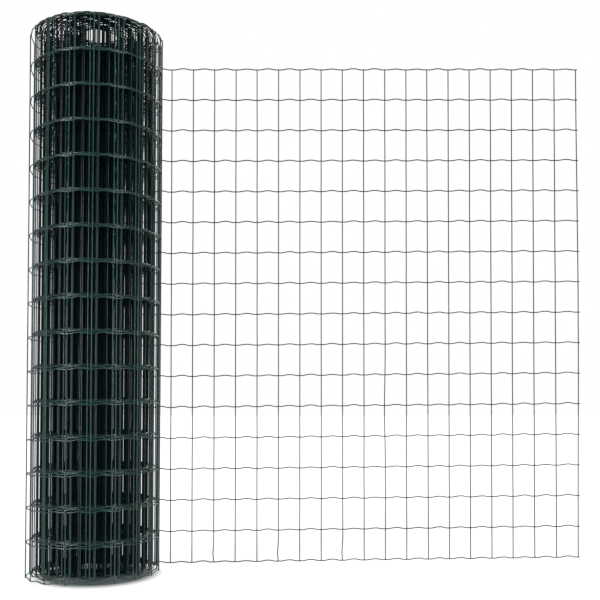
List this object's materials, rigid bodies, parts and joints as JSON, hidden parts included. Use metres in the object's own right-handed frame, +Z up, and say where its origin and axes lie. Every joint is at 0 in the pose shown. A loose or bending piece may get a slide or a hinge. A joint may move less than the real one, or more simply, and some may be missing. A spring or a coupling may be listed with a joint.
{
  "type": "roll of wire fencing",
  "caption": "Roll of dark green coated welded wire mesh, stood on its end, with one stretch of the sheet unrolled flat beside it.",
  "frame": {"origin": "on the roll's axis, at the floor that the roll stands on", "axes": "+Z up along the roll's axis, +X along the unrolled stretch, +Y away from the viewer"},
  "size_m": [1.2962, 0.298, 1.2153],
  "materials": {
    "coated_wire": "satin"
  },
  "bodies": {
    "root": {"wound_roll": "coated_wire", "free_end": "coated_wire"}
  },
  "joints": []
}
